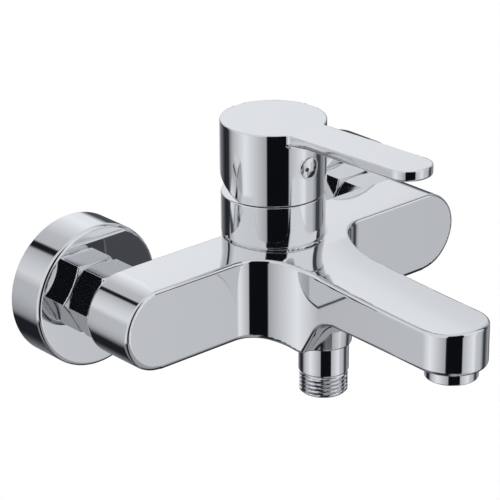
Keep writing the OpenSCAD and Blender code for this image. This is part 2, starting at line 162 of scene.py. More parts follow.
class Union:
    """Sizes of an S-union. Its wall thread is lower than its nose by the offset."""

    low, high = box_mm("s_union_left")
    offset = 10
    back, front = -high[1], -low[1]
    flange_r = 12
    flange_back, flange_front = 0.6, 7.4
    chamfer = 1.3


# Pipe threads: the pitch and depth that both sizes share, and the outer radius of each.
PITCH = 1.814
THREAD_DEPTH = 1.162
HALF_INCH_R = 20.955 / 2
THREE_QUARTER_R = 26.441 / 2


# ---- distance functions: millimetres to the surface, negative inside ----


def round_and(a, b, r):
    """Where a and b overlap, with their outer edge rounded to radius r."""
    a, b = a + r, b + r
    return np.minimum(np.maximum(a, b), 0) + np.hypot(np.maximum(a, 0), np.maximum(b, 0)) - r


def eased(value):
    """Goes smoothly from 0 to 1 as the value does."""
    value = np.clip(value, 0, 1)
    return value * value * (3 - 2 * value)


def round_cut(a, b, r):
    """a without b, the new edge rounded to radius r."""
    return round_and(a, -b, r)


def blend_or(a, b, k):
    """a and b joined by a soft fillet about k wide."""
    h = np.maximum(k - np.abs(a - b), 0) / k
    return np.minimum(a, b) - h * h * k / 4


def turned(corners, steps=16):
    """A closed outline through (u, v, radius) corners, each corner turned with its own radius."""
    points = []
    for i, (u, v, r) in enumerate(corners):
        here = np.array((u, v), float)
        if r == 0:
            points.append(tuple(here))
            continue
        back = np.array(corners[i - 1][:2]) - here
        ahead = np.array(corners[(i + 1) % len(corners)][:2]) - here
        back, ahead = back / np.linalg.norm(back), ahead / np.linalg.norm(ahead)
        half = math.acos(np.clip(back @ ahead, -1, 1)) / 2
        middle = (back + ahead) / np.linalg.norm(back + ahead)
        centre = here + middle * r / math.sin(half)
        start, stop = [here + way * r / math.tan(half) - centre for way in (back, ahead)]
        first = math.atan2(start[1], start[0])
        sweep = math.atan2(start[0] * stop[1] - start[1] * stop[0], start @ stop)
        for s in np.linspace(0, 1, steps + 1):
            a = first + sweep * s
            points.append((centre[0] + r * math.cos(a), centre[1] + r * math.sin(a)))
    return points


def outline(points, u, v):
    """Distance from (u, v) to a closed outline, negative inside it."""
    u, v = np.broadcast_arrays(u, v)
    nearest = np.full(u.shape, 1e9)
    inside = np.zeros(u.shape, bool)
    au, av = points[-1]
    for bu, bv in points:
        eu, ev = bu - au, bv - av
        length = eu * eu + ev * ev
        if length > 1e-12:
            wu, wv = u - au, v - av
            t = np.clip((wu * eu + wv * ev) / length, 0, 1)
            nearest = np.minimum(nearest, (wu - eu * t) ** 2 + (wv - ev * t) ** 2)
            if ev:
                inside ^= ((av <= v) != (bv <= v)) & (wu < wv * eu / ev)
        au, av = bu, bv
    return np.where(inside, -1, 1) * np.sqrt(nearest)


def rod(u, v, w, r, low, high):
    """A plain cylinder along w."""
    return np.maximum(np.hypot(u, v) - r, np.abs(w - (low + high) / 2) - (high - low) / 2)


# ---- meshes ----


def net(distance, low, high, step):
    """Points and quads of the surface where distance is zero: a point per grid cell it crosses."""
    lines = [np.arange(low[i] - 1.63 * step, high[i] + 2.5 * step, step) for i in range(3)]
    field = distance(lines[0][:, None, None], lines[1][None, :, None], lines[2][None, None, :])
    inside = field < 0
    cells = tuple(n - 1 for n in field.shape)
    total, count, quads = np.zeros((3, math.prod(cells))), np.zeros(math.prod(cells)), []
    for axis in range(3):
        a, b = np.moveaxis(inside, axis, 0)[:-1], np.moveaxis(inside, axis, 0)[1:]
        edge = np.argwhere(np.moveaxis(a != b, 0, axis))
        if not len(edge):
            continue
        other = edge.copy()
        other[:, axis] += 1
        fa, fb = field[tuple(edge.T)], field[tuple(other.T)]
        point = edge.astype(float)
        point[:, axis] += fa / (fa - fb)
        side1, side2 = (axis + 1) % 3, (axis + 2) % 3
        round_edge = []
        for d1, d2 in ((0, 0), (-1, 0), (-1, -1), (0, -1)):
            cell = edge.copy()
            cell[:, side1] += d1
            cell[:, side2] += d2
            flat = np.ravel_multi_index(tuple(cell.T), cells)
            round_edge.append(flat)
            count += np.bincount(flat, minlength=count.size)
            for k in range(3):
                total[k] += np.bincount(flat, weights=point[:, k], minlength=count.size)
        quad = np.stack(round_edge, 1)
        leaving = fa < 0
        quad[~leaving] = quad[~leaving][:, ::-1]
        quads.append(quad)
    used = count > 0
    number = np.cumsum(used) - 1
    points = (total[:, used] / count[used]).T * step + [line[0] for line in lines]
    return points, number[np.concatenate(quads)]


def slope(distance, points):
    """Gradient of a distance function at each point."""
    shift = 0.02
    columns = []
    for k in range(3):
        move = np.zeros(3)
        move[k] = shift
        ahead, behind = points + move, points - move
        columns.append((distance(*ahead.T) - distance(*behind.T)) / (2 * shift))
    return np.stack(columns, 1)


def settle(distance, points, step):
    """Points pulled onto the surface in four rounds, each by less than half a grid step."""
    for _ in range(4):
        grade = slope(distance, points)
        size = np.maximum((grade**2).sum(1), 0.05)
        pull = distance(*points.T)[:, None] * grade / size[:, None]
        length = np.maximum(np.linalg.norm(pull, axis=1), 1e-9)
        points = points - pull * np.minimum(1, step / 2 / length)[:, None]
    return points


def mesh_object(name, points, faces, normals=None):
    """An object from points in millimetres."""
    mesh = bpy.data.meshes.new(name)
    mesh.from_pydata((points / 1000).tolist(), [], faces.tolist())
    mesh.validate()
    mesh.shade_smooth()
    if normals is not None:
        mesh.normals_split_custom_set_from_vertices(normals.tolist())
    obj = bpy.data.objects.new(name, mesh)
    bpy.context.collection.objects.link(obj)
    return obj


def skin(name, distance, low, high, step):
    """A smooth closed object whose surface is where distance is zero."""
    step = step * 1
    points, quads = net(distance, low, high, step)
    points = settle(distance, points, step)
    grade = slope(distance, points)
    normals = grade / np.maximum(np.linalg.norm(grade, axis=1), 1e-9)[:, None]
    return mesh_object(name, points, quads, normals)


def outward(points, x, z=0):
    """Turns points whose third number is a reach into wall pieces on an axis at (x, z)."""
    u, v, w = points.T
    return np.stack([x + u, -w, z + v], 1)


def upright(points, reach):
    """Moves upright points onto an axis at a reach."""
    return points + [0, -reach, 0]


def close_to_corners(profile):
    """A profile with a point added just inside both ends of each long side, which keeps it flat."""
    near = 0.05
    points = []
    for (ar, aw), (br, bw) in zip(profile, profile[1:] + profile[:1]):
        points.append((ar, aw))
        length = math.hypot(br - ar, bw - aw)
        if length > 6 * near:
            for share in (near / length, 1 - near / length):
                points.append((ar + (br - ar) * share, aw + (bw - aw) * share))
    return points


def lathe(name, profile, place, steps=160, radius=None):
    """A closed profile of (radius, height) points turned round an axis; place moves it home."""
    steps = steps // 1
    r, w = np.array(close_to_corners(profile)).T
    angle = np.linspace(0, 2 * np.pi, steps, endpoint=False)
    rr = np.repeat(r[:, None], steps, 1)
    ww = np.repeat(w[:, None], steps, 1)
    if radius is not None:
        rr = radius(rr, ww, angle[None, :])
    points = np.stack([rr * np.cos(angle), rr * np.sin(angle), ww], 2).reshape(-1, 3)
    ring = np.arange(steps)
    faces = []
    for i in range(len(r)):
        j = (i + 1) % len(r)
        a, b = i * steps + ring, j * steps + ring
        faces.append(np.stack([a, np.roll(a, -1), np.roll(b, -1), b], 1))
    obj = mesh_object(name, place(points), np.concatenate(faces))
    facing_out(obj)
    obj.data.set_sharp_from_angle(angle=math.radians(32))
    return obj


def facing_out(obj):
    """Makes every face of a closed object point outwards."""
    work = bmesh.new()
    work.from_mesh(obj.data)
    bmesh.ops.recalc_face_normals(work, faces=work.faces)
    work.to_mesh(obj.data)
    work.free()


def joins(obj, body, material):
    """Puts a visual piece on a body, with its finish."""
    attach(obj, body)
    obj.data.materials.append(material)


def stands_for(obj, body, node, material):
    """Puts a visual piece in the place of a CAD node."""
    joins(obj, body, material)
    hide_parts(node)


# ---- the casting ----


def spout_top(reach):
    """Height of the top of the casting: flat over the arms, then easing down to the tip."""
    c = Casting
    share = np.maximum((c.tip_reach - reach) / (c.tip_reach - c.arm_front), 0)
    falling = c.tip_top + (c.arm_r - c.tip_top) * share**1.7
    return blend_or(falling, np.full_like(falling, c.arm_r), 1.2)


def plan_distance(x, reach):
    """The casting from above: the arms' front, upright fillets, the spout and its round tip."""
    c = Casting
    across = np.maximum(c.spout_half + c.fillet_x - np.abs(x), 0) / c.fillet_x
    out = np.maximum(c.arm_front + c.fillet_reach - reach, 0) / c.fillet_reach
    size = np.hypot(across, out)
    grade = np.hypot(across / c.fillet_x, out / c.fillet_reach)
    corner = (1 - size) * size / np.maximum(grade, 1e-6)
    deep = 0.2  # deep inside, a rough value will do
    corner = np.where(size < deep, deep * c.fillet_x, corner)
    tip = np.hypot(x, np.maximum(reach - c.tip_centre, 0)) - c.spout_half
    front = np.where(reach > c.tip_centre, tip, corner)
    return round_and(front, c.arm_back - reach, c.edge)


def side_outline():
    """Side view of the casting below its top: arms, shower outlet, underside of the spout."""
    c = Casting
    past_tip = c.tip_reach + 20
    return turned(
        [
            (0, c.far_above, 0),
            (0, c.arm_low, 0),
            (c.arm_front, c.arm_low, 40),
            (79, c.ring_z, 6),
            (82.5, c.ring_z, 1.5),
            (92, -5.42, 14),
            (past_tip, -7.85, 0),
            (past_tip, c.far_above, 0),
        ],
        steps=60,
    )


def flare_outline():
    """Half section of the ring round the shower outlet and of the fillet above it."""
    o, c = Outlet, Casting
    root_r, root_z = o.ring_r + 0.7, o.flare_z + o.flare_r
    wide = root_r + o.flare_r + 2
    return turned(
        [
            (-1, 2, 0),
            (wide, 2, 0),
            (wide, root_z, 0),
            (root_r, root_z, o.flare_r),
            (o.ring_r, c.ring_z, 0.7),
            (-1, c.ring_z, 0),
        ],
        steps=60,
    )


SIDE, FLARE = side_outline(), flare_outline()


def casting_hollows(x, y, z):
    """Cartridge bore, inlets and water channels, each with its radius and its two ends."""
    c, o, h = Casting, Outlet, Handle
    reach = -y
    ax = np.abs(x)
    dy = reach - h.axis
    cartridge = rod(x, dy, z, c.cartridge_r, 0, c.far_above)
    cartridge_thread = rod(x, dy, z, c.cartridge_r + 1, c.neck_top - 8.2, c.far_above)
    inlet = rod(ax - INLET_X, z, reach, 10, c.arm_back - 5, c.arm_back + 11)
    inlet_end = rod(ax - INLET_X, z, reach, 8, c.arm_back, h.axis + 1)
    channel = rod(z + 7, reach - (h.axis - 4), ax, 5, 6.4, INLET_X)
    cartridge_inlet = rod(ax - 8.5, dy + 4, z, 3.2, -7.5, 1)
    cartridge_outlet = rod(x, dy - 9.5, z, 3.2, -7.5, 1)
    outlet_channel = rod(x, z + 7.5, reach, 4, h.axis + 7, o.reach)
    shower = rod(x, reach - o.reach, z, 6, -26, 3)
    spout = rod(x, z - 2.6, reach, 5, o.reach, o.aerator)
    locating_hole = rod(ax - 9, dy - 13, z, 1.6, -2.2, 1)
    hollows = [cartridge, cartridge_thread, inlet, inlet_end, channel, cartridge_inlet]
    hollows += [cartridge_outlet, outlet_channel, shower, spout, locating_hole]
    return np.minimum.reduce(np.broadcast_arrays(*hollows))


def casting_distance(x, y, z):
    """The casting. The lower edge of its arms is softer than its other edges."""
    c, o, h = Casting, Outlet, Handle
    reach = -y
    crown = 0.005 * np.minimum(x * x, 300) * np.clip((reach - c.crown_from) / 20, 0, 1)
    top = z - spout_top(reach) + crown
    side = outline(SIDE, reach, z)
    around_outlet = np.hypot(x, reach - o.reach)
    below = blend_or(side, outline_of_turning(FLARE, around_outlet, z), 1.6)
    middle = (c.arm_r + c.arm_low) / 2
    ends = np.hypot(np.maximum(np.abs(x) - c.arm_end, 0), z - middle) - c.end_r
    ends = np.where(np.abs(x) > c.arm_end, ends, -99.0)
    upright_view = np.maximum(np.maximum(top, below), ends)
    softer = eased((6 - z) / 18) * eased((84 - reach) / 12)
    body = round_and(plan_distance(x, reach), upright_view, c.edge + softer)
    around_axis = np.hypot(x, reach - h.axis)
    seat = np.maximum(around_axis - h.sleeve_r + 0.25, z - c.arm_r + 0.7)
    seat = round_and(seat, c.arm_low - z, c.edge)
    neck = np.maximum(around_axis - c.neck_r, np.maximum(z - c.neck_top, -z))
    body = np.minimum(blend_or(body, seat, 1.0), neck)
    groove = np.maximum(np.abs(around_axis - c.neck_r) - 0.9, np.abs(z - c.groove_z) - 0.7)
    body = np.maximum(body, -groove)
    nipple_hole = rod(x, reach - o.reach, z, c.nipple_hole_r, c.far_below, c.nipple_hole_top)
    aerator_hole = rod(x, reach - o.aerator, z, c.aerator_hole_r, c.far_below, c.aerator_hole_top)
    body = round_cut(round_cut(body, nipple_hole, 0.4), aerator_hole, 0.4)
    return np.maximum(body, -casting_hollows(x, y, z))


def outline_of_turning(points, around, z):
    """Distance to a turned outline. Far from it only a rough value is worked out."""
    near = (around < 30) & (z < 6) & (z > -32)
    far = np.maximum(np.hypot(np.maximum(around - 22, 0), np.maximum(np.abs(z + 10) - 14, 0)), 3.0)
    around, z = np.broadcast_arrays(around, z)
    result = np.broadcast_to(far, around.shape).copy()
    result[near] = outline(points, around[near], z[near])
    return result


# ---- the handle ----


def lever_outline():
    """The lever seen from above."""
    h = Handle
    return turned(
        [
            (-h.root_half, h.hinge - 14, 0),
            (h.root_half, h.hinge - 14, 0),
            (h.tip_half, h.tip, h.corner),
            (-h.tip_half, h.tip, h.corner),
        ],
        steps=40,
    )


LEVER = lever_outline()


def handle_distance(x, y, z):
    """The handle. The lever's lower edge is softer along its middle than at its ends."""
    h = Handle
    reach = -y
    dy = reach - h.axis
    around = np.hypot(x, dy)
    out = reach - h.hinge
    top = (z - (h.top + np.maximum(out, 0) * math.tan(h.rise))) * math.cos(h.rise)
    skirt = (z - h.bottom) * math.cos(h.skirt_lean) + (dy - h.skirt_from) * math.sin(h.skirt_lean)
    drum = round_and(around - h.r, np.maximum(h.bottom - z, -skirt), 0.5)
    bottom = (h.top - h.thick + out * math.tan(h.rise) - z) * math.cos(h.rise)
    under_edge = 0.9 + 1.7 * np.clip((reach - 69) / 8, 0, 1) * np.clip((132 - reach) / 55, 0, 1)
    lever = round_and(outline(LEVER, x, reach), bottom, under_edge)
    solid = round_and(blend_or(drum, lever, 1.5), top, 0.55)
    cavity = np.maximum(around - (h.r - h.wall), z - (h.top - h.roof))
    cavity = np.maximum(cavity, h.post_r - around)
    pocket = np.maximum(around - h.pocket_r, z - (h.pivot_z + h.pocket_height))
    socket = np.maximum(np.abs(x), np.abs(dy)) - h.socket_half
    socket = np.maximum(socket, np.abs(z - h.socket_z) - h.socket_rise)
    around_plug = np.hypot(x, z - h.plug_z)
    recess = np.maximum(around_plug - (h.plug_r + 0.5), h.r - 0.7 - dy)
    screw_r = np.where(dy > h.screw_head_from, h.screw_head_r, h.screw_r)
    screw = np.maximum(around_plug - screw_r, -dy)
    hollows = np.minimum.reduce(np.broadcast_arrays(cavity, pocket, socket, recess, screw))
    return np.maximum(solid, -hollows)


# ---- union nuts and eccentric unions, each about its own inlet ----


def at_inlet(distance, side):
    """A distance function of (u, v, reach) about an inlet's axis, moved to that inlet."""
    return lambda x, y, z: distance(x - side * INLET_X, z, -y)


def nut_distance(u, v, w):
    """A union nut: a hexagon with its corners turned down at both ends."""
    low, high = Nut.back, Nut.front
    au, av = np.abs(u), np.abs(v)
    hexagon = np.maximum(av, 0.5 * av + math.sqrt(0.75) * au) - Nut.half
    around = np.hypot(u, v)
    ends = np.maximum(low - w, w - high)
    lean = np.array((1.7, 2.82)) / math.hypot(1.7, 2.82)
    rim = Nut.half - 0.3
    cones = (around - rim) * lean[0] + (np.abs(w - (low + high) / 2) - (high - low) / 2) * lean[1]
    body = round_and(round_and(hexagon, ends, 0.3), cones, 0.35)
    bore = np.where(w > Nut.thread_end, Nut.tail_hole_r, THREE_QUARTER_R + 0.1)
    return np.maximum(body, bore - around)


def threaded(u, v, w, crest, low, high):
    """Distance to a threaded bar along w whose thread runs from low to high."""
    turns_up = w / PITCH - np.arctan2(v, u) / (2 * np.pi)
    fade = np.clip((w - low) / 0.9, 0, 1) * np.clip((high - w) / 0.9, 0, 1)
    return np.hypot(u, v) - crest + THREAD_DEPTH * fade * thread_form(turns_up)


def union_distance(u, v, w):
    """The S-union: a thread for the wall, a flange, and a larger thread about the inlet's axis."""
    s = Union
    lower = v + s.offset
    wall = threaded(u, lower, w, HALF_INCH_R, s.back + 0.4, 0.2)
    wall = np.maximum(wall, np.hypot(u, lower) - HALF_INCH_R + s.chamfer + s.back - w)
    wall = np.maximum(wall, np.maximum(s.back - w, w - 2))
    thick = np.maximum(s.flange_back - w, w - s.flange_front)
    flange = round_and(np.hypot(u, lower) - s.flange_r, thick, 0.3)
    nose = threaded(u, v, w, THREE_QUARTER_R, s.flange_front + 0.8, s.front)
    nose = np.maximum(nose, np.hypot(u, v) - THREE_QUARTER_R - s.chamfer + w - s.front + 2)
    nose = np.maximum(nose, np.maximum(2.2 - w, w - s.front))
    solid = np.minimum(np.minimum(wall, flange), nose)
    hollow = np.minimum(rod(u, lower, w, 7, s.back - 1, 6), rod(u, v, w, 8.2, 3.4, 40))
    return round_cut(solid, hollow, 0.25)


def wall_fittings(side, word, made):
    """A union nut and the S-union it is screwed on."""
    for name, distance, step, material in (
        ("union_nut_", nut_distance, 0.45, made["polished_chrome"]),
        ("s_union_", union_distance, 0.34, made["raw_brass"]),
    ):
        low, high = box_mm(name + word)
        obj = skin(name + word + "_skin", at_inlet(distance, side), low, high, step)
        stands_for(obj, "fixed_body", name + word, material)


# ---- turned pieces ----


def escutcheon(side, node, material):
    """A deep round wall cover, open at the back, with a short hub round its hole."""
    low, high = box_mm(node)
    r, depth = high[2], -low[1]
    wall, hub = 1.5, 2.5
    hole = THREE_QUARTER_R + 0.1
    profile = turned(
        [
            (r - wall, 0, 0.2),
            (r, 0, 0.35),
            (r, depth, 1.7),
            (hole, depth, 0.4),
            (hole, depth - 6, 0.2),
            (hole + hub, depth - 6, 0.2),
            (hole + hub, depth - 1.6, 0.5),
            (r - wall, depth - 1.6, 1.0),
        ]
    )
    obj = lathe(node + "_skin", profile, lambda p: outward(p, side * INLET_X), steps=256)
    stands_for(obj, "fixed_body", node, material)


def arc(r, height, first, last, count):
    """Points on a circle about the axis at a height, from one angle above level to another."""
    angles = np.linspace(first, last, count)
    return [(r * math.cos(a), height + r * math.sin(a)) for a in angles]


def sleeve(material):
    """The bonnet sleeve with its dome, and the ring it sits on."""
    h, c = Handle, Casting
    outer, inner, hole = 21.5, 20.2, 13.8
    bore, bore_top = 20.1, c.neck_top + 0.6
    foot, foot_top = h.sleeve_r - 1.2, c.arm_r + 0.7
    dome = arc(
        outer, h.pivot_z, math.asin((h.sleeve_top - h.pivot_z) / outer), math.acos(hole / outer), 24
    )
    inside = arc(
        inner, h.pivot_z, math.acos(hole / inner), math.asin((bore_top - h.pivot_z) / inner), 20
    )
    skirt = turned(
        [
            (c.arm_r + 3, h.sleeve_top, 0),  # only gives the last corner its direction
            (bore, bore_top, 0),
            (bore, c.arm_r, 0),
            (foot, c.arm_r, 0),
            (foot, foot_top, 0),
            (h.sleeve_r, foot_top, 0.3),
            (h.sleeve_r, h.sleeve_top, 0.55),
        ]
    )[1:]
    profile = skirt + dome + inside
    obj = lathe("bonnet_sleeve_skin", profile, lambda p: upright(p, h.axis), steps=256)
    stands_for(obj, "fixed_body", "bonnet_sleeve", material)
    ring_inner, ring_outer = h.sleeve_r - 3.0, h.sleeve_r - 0.2
    ring_low, ring_high = c.arm_r - 2.0, c.arm_r - 0.02
    section = turned(
        [
            (ring_inner, ring_low, 0),
            (ring_outer, ring_low, 0),
            (ring_outer, ring_high, 0.2),
            (ring_inner, ring_high, 0),
        ]
    )
    ring = lathe("sleeve_seat", section, lambda p: upright(p, h.axis), steps=256)
    joins(ring, "fixed_body", material)


def on_plug(points):
    """Moves points onto the index plug's axis. Their third number is a depth from the handle's."""
    return outward(points, 0, Handle.plug_z) + [0, -Handle.axis, 0]


def index_plug(material, marks):
    """The domed plug on the front of the handle, with a hot and a cold mark on the dome."""
    h = Handle
    plug_r, dome_r = h.plug_r - 0.35, 9.0
    centre = h.plug_front - dome_r
    stem_r, stem_start, flat = 3.1, h.r - 4, h.r - 0.68
    dome = [
        (plug_r * math.sin(a), centre + math.sqrt(dome_r**2 - (plug_r * math.sin(a)) ** 2))
        for a in np.linspace(math.pi / 2 * 0.94, 0.004, 28)
    ]
    dome_edge = centre + math.sqrt(dome_r**2 - plug_r**2)
    profile = [(0.01, stem_start), (stem_r, stem_start), (stem_r, flat), (plug_r - 0.15, flat)]
    profile += [(plug_r, h.r - 0.5), (plug_r, dome_edge - 0.1)] + dome
    obj = lathe("index_plug_skin", profile, on_plug, steps=96)
    stands_for(obj, "lever", "index_plug", material)
    mark_r, mark_low, mark_high = 0.95, dome_r - 0.6, dome_r + 0.04
    mark = turned(
        [
            (0.01, mark_low, 0),
            (mark_r, mark_low, 0),
            (mark_r, mark_high, 0.12),
            (0.01, mark_high, 0),
        ]
    )
    for word, side, slot in (("hot", -1, "red_plastic"), ("cold", 1, "grey_plastic")):
        lean = side * math.asin(2.2 / dome_r)

        def leaning(p, lean=lean):
            """Tips a mark sideways about the centre of the plug's dome."""
            x = p[:, 0] * math.cos(lean) + p[:, 2] * math.sin(lean)
            z = p[:, 2] * math.cos(lean) - p[:, 0] * math.sin(lean)
            return on_plug(np.stack([x, p[:, 1], z + centre], 1))

        joins(lathe(word + "_mark", mark, leaning, steps=48), "lever", marks[word])


def index_hole_rim(material):
    """The rim of the plug's hole in the handle."""
    h = Handle
    hole, top = h.plug_r + 0.14, 0.04
    rim = turned(
        [(hole, -0.8, 0), (hole + 0.9, -0.8, 0), (hole + 0.9, top, 0.1), (hole, top, 0.25)]
    )

    def wrapped(p):
        """Bends the rim round the drum."""
        drop = np.sqrt(h.r**2 - p[:, 0] ** 2)
        return on_plug(p + np.stack([0 * drop, 0 * drop, drop], 1))

    joins(lathe("index_hole_rim", rim, wrapped, steps=128), "lever", material)


# ---- threads ----


def thread_form(turns_up):
    """Depth of a rounded pipe thread, 0 at the crest and 1 at the root, over one pitch."""
    wave = np.abs((turns_up % 1) * 2 - 1)
    return np.clip((wave - 0.18) / 0.62, 0, 1) ** 0.9


def helix(crest, low, high):
    """A function that cuts a helical thread into a lathe's radius between two heights."""

    def radius(r, w, angle):
        fade = np.clip((w - low) / 0.9, 0, 1) * np.clip((high - w) / 1.6, 0, 1)
        cut = THREAD_DEPTH * fade * thread_form(w / PITCH - angle / (2 * np.pi))
        return np.where(np.abs(r - crest) < 0.02, r - cut, r)

    return radius


def rows(r, low, high):
    """Profile points up a straight wall, close enough together to carry a thread."""
    count = int((high - low) / (0.11 * 1))
    return [(r, w) for w in np.linspace(low, high, count)]


def shower_nipple(material):
    """The threaded nipple of the shower outlet, with a collar and a shank in the casting."""
    o, c = Outlet, Casting
    crest = HALF_INCH_R
    low, thread_end, top = o.bottom, -36.4, c.ring_z + 11
    bore_r, seat_r, seat_top, shank_r = 5.6, 7.4, low + 14, 8.74
    outside = [(seat_r + 0.3, low), (crest - 0.9, low), (crest, low + 0.8)]
    outside += rows(crest, low + 0.85, thread_end - 0.2)
    outside += [(crest, thread_end), (o.collar_r - 0.1, thread_end + 0.12)]
    outside += [(o.collar_r, thread_end + 0.3), (o.collar_r, c.ring_z)]
    outside += [(shank_r, c.ring_z), (shank_r, top)]
    bore = [(bore_r, top), (bore_r, seat_top), (seat_r, seat_top), (seat_r, low + 0.3)]
    cut = helix(crest, low + 0.2, thread_end - 0.1)
    obj = lathe("shower_nipple_skin", outside + bore, lambda p: upright(p, o.reach), 200, cut)
    stands_for(obj, "fixed_body", "shower_nipple", material)


def aerator_housing(material):
    """The round housing below the tip of the spout, with a hole for the diverter's rod."""
    o = Outlet
    low, high = o.aerator_low[2], o.aerator_high[2]
    inner, rod_hole, roof = 9.7, 2.05, 2
    profile = turned(
        [
            (inner, low, 0.25),
            (o.aerator_r, low, 0.45),
            (o.aerator_r, high, 0.3),
            (rod_hole, high, 0.1),
            (rod_hole, high - roof, 0.1),
            (inner, high - roof, 0.2),
        ]
    )
    obj = lathe("aerator_housing_skin", profile, lambda p: upright(p, o.aerator), steps=192)
    stands_for(obj, "diverter", "aerator_housing", material)


# ---- materials ----


class Paint:
    """A node material being put together."""

    def __init__(self, name, color, metallic, roughness):
        self.material = bpy.data.materials.new(name)
        self.material.use_nodes = True
        self.nodes, self.links = self.material.node_tree.nodes, self.material.node_tree.links
        self.shader = self.nodes["Principled BSDF"]
        self.shader.inputs["Base Color"].default_value = (*color, 1)
        self.shader.inputs["Metallic"].default_value = metallic
        self.shader.inputs["Roughness"].default_value = roughness
        self.place = self.nodes.new("ShaderNodeTexCoord").outputs["Object"]

    def noise(self, scale, detail):
        node = self.nodes.new("ShaderNodeTexNoise")
        node.inputs["Scale"].default_value = scale
        node.inputs["Detail"].default_value = detail
        self.links.new(self.place, node.inputs["Vector"])
        return node.outputs["Fac"]

    def spread(self, value, low, high):
        """Maps the middle of a noise, where most of it lies, onto the range from low to high."""
        node = self.nodes.new("ShaderNodeMapRange")
        node.inputs["From Min"].default_value, node.inputs["From Max"].default_value = 0.3, 0.7
        node.inputs["To Min"].default_value, node.inputs["To Max"].default_value = low, high
        self.links.new(value, node.inputs["Value"])
        return node.outputs["Result"]

    def tint(self, value, first, second):
        """Colours the surface between two colours by a noise."""
        node = self.nodes.new("ShaderNodeValToRGB")
        node.color_ramp.elements[0].position, node.color_ramp.elements[1].position = 0.35, 0.65
        node.color_ramp.elements[0].color = (*first, 1)
        node.color_ramp.elements[1].color = (*second, 1)
        self.links.new(value, node.inputs["Fac"])
        self.links.new(node.outputs["Color"], self.shader.inputs["Base Color"])

    def bump(self, value, depth):
        """Raises the surface by a noise, up to depth metres."""
        node = self.nodes.new("ShaderNodeBump")
        node.inputs["Strength"].default_value = 1
        node.inputs["Distance"].default_value = depth
        self.links.new(value, node.inputs["Height"])
        self.links.new(node.outputs["Normal"], self.shader.inputs["Normal"])

    def rough(self, value):
        self.links.new(value, self.shader.inputs["Roughness"])


def chrome(name, low=0.03, high=0.07, wave=0.00003):
    """Polished chrome plate: slight waves left by polishing, and faint differences in gloss."""
    paint = Paint(name, (0.86, 0.865, 0.875), 1, low)
    paint.rough(paint.spread(paint.noise(90, 5), low, high))
    paint.bump(paint.noise(26, 2), wave)
    return paint.material


def mottled(paint, colours, speckle, gloss, sheen, relief=None):
    """Varies a paint's colour, its roughness and, where asked, its relief, each by a noise.

    gloss is the range of the roughness. speckle and sheen are each the scale and the detail of
    a noise, and relief is a scale and a depth.
    """
    paint.tint(paint.noise(*speckle), *colours)
    paint.rough(paint.spread(paint.noise(*sheen), *gloss))
    if relief:
        scale, depth = relief
        paint.bump(paint.noise(scale, 2), depth)
    return paint.material


def make_materials():
    brass = Paint("brass_turned", (0.72, 0.53, 0.26), 1, 0.25)
    brass_colours = (0.60, 0.42, 0.19), (0.79, 0.60, 0.31)
    rubber = Paint("rubber_black", (0.02, 0.02, 0.02), 0, 0.6)
    rubber_colours = (0.013, 0.013, 0.014), (0.03, 0.03, 0.031)
    ceramic = Paint("ceramic_lapped", (0.86, 0.84, 0.78), 0, 0.15)
    ceramic_colours = (0.83, 0.81, 0.75), (0.90, 0.88, 0.83)
    steel = Paint("steel_bare", (0.55, 0.56, 0.57), 1, 0.3)
    steel_colours = (0.50, 0.51, 0.52), (0.62, 0.63, 0.64)
    made = {
        "polished_chrome": chrome("chrome_cast"),
        "mirror_chrome": chrome("chrome_flat", 0.015, 0.035, 0.000004),
        "raw_brass": mottled(
            brass, brass_colours, (160, 4), (0.2, 0.38), (400, 3), (1500, 0.00003)
        ),
        "black_rubber": mottled(
            rubber, rubber_colours, (700, 3), (0.5, 0.72), (900, 2), (2500, 0.00004)
        ),
        "ceramic": mottled(ceramic, ceramic_colours, (120, 4), (0.1, 0.2), (300, 3)),
        "stainless_steel": mottled(
            steel, steel_colours, (300, 4), (0.22, 0.36), (800, 3), (3000, 0.00002)
        ),
    }
    for slot, first, second in (
        ("white_plastic", (0.80, 0.80, 0.78), (0.86, 0.86, 0.84)),
        ("grey_plastic", (0.10, 0.105, 0.11), (0.14, 0.145, 0.15)),
        ("red_plastic", (0.50, 0.025, 0.02), (0.60, 0.04, 0.03)),
    ):
        paint = Paint(slot + "_moulded", first, 0, 0.4)
        made[slot] = mottled(
            paint, (first, second), (200, 3), (0.35, 0.5), (500, 3), (1200, 0.00003)
        )
    for word, first, second in (
        ("hot_enamel", (0.045, 0.010, 0.008), (0.060, 0.014, 0.012)),
        ("cold_enamel", (0.008, 0.014, 0.045), (0.012, 0.020, 0.060)),
    ):
        paint = Paint(word, first, 0, 0.25)
        made[word] = mottled(paint, (first, second), (900, 3), (0.2, 0.35), (1500, 2))
    return made


def dress_cad_nodes(made):
    """Gives every CAD node the material of its slot."""
    for name, obj in frame["nodes"].items():
        obj.data.materials.clear()
        obj.data.materials.append(made[SLOTS[name]])


# ---- room: camera, lights, floor ----


# The camera: the side and height it looks from, its roll, all in degrees, and its place.
AZIMUTH, ELEVATION, ROLL = -41.49, 23.005, -0.31
EYE = (-0.65868, -0.77552, 0.42539)
LENS, SENSOR = 178.1, 36


def camera():
    data = bpy.data.cameras.new("camera")
    data.sensor_width, data.lens = SENSOR, LENS
    data.clip_start, data.clip_end = 0.05, 20
    obj = bpy.data.objects.new("camera", data)
    bpy.context.collection.objects.link(obj)
    a, e, roll = (math.radians(v) for v in (AZIMUTH, ELEVATION, ROLL))
    back = Vector((math.sin(a) * math.cos(e), -math.cos(a) * math.cos(e), math.sin(e)))
    level = Vector((math.cos(a), math.sin(a), 0))
    upward = back.cross(level)
    right = level * math.cos(roll) + upward * math.sin(roll)
    up = upward * math.cos(roll) - level * math.sin(roll)
    turn = Matrix((right, up, back)).transposed()
    obj.matrix_world = Matrix.Translation(EYE) @ turn.to_4x4()
    bpy.context.scene.camera = obj


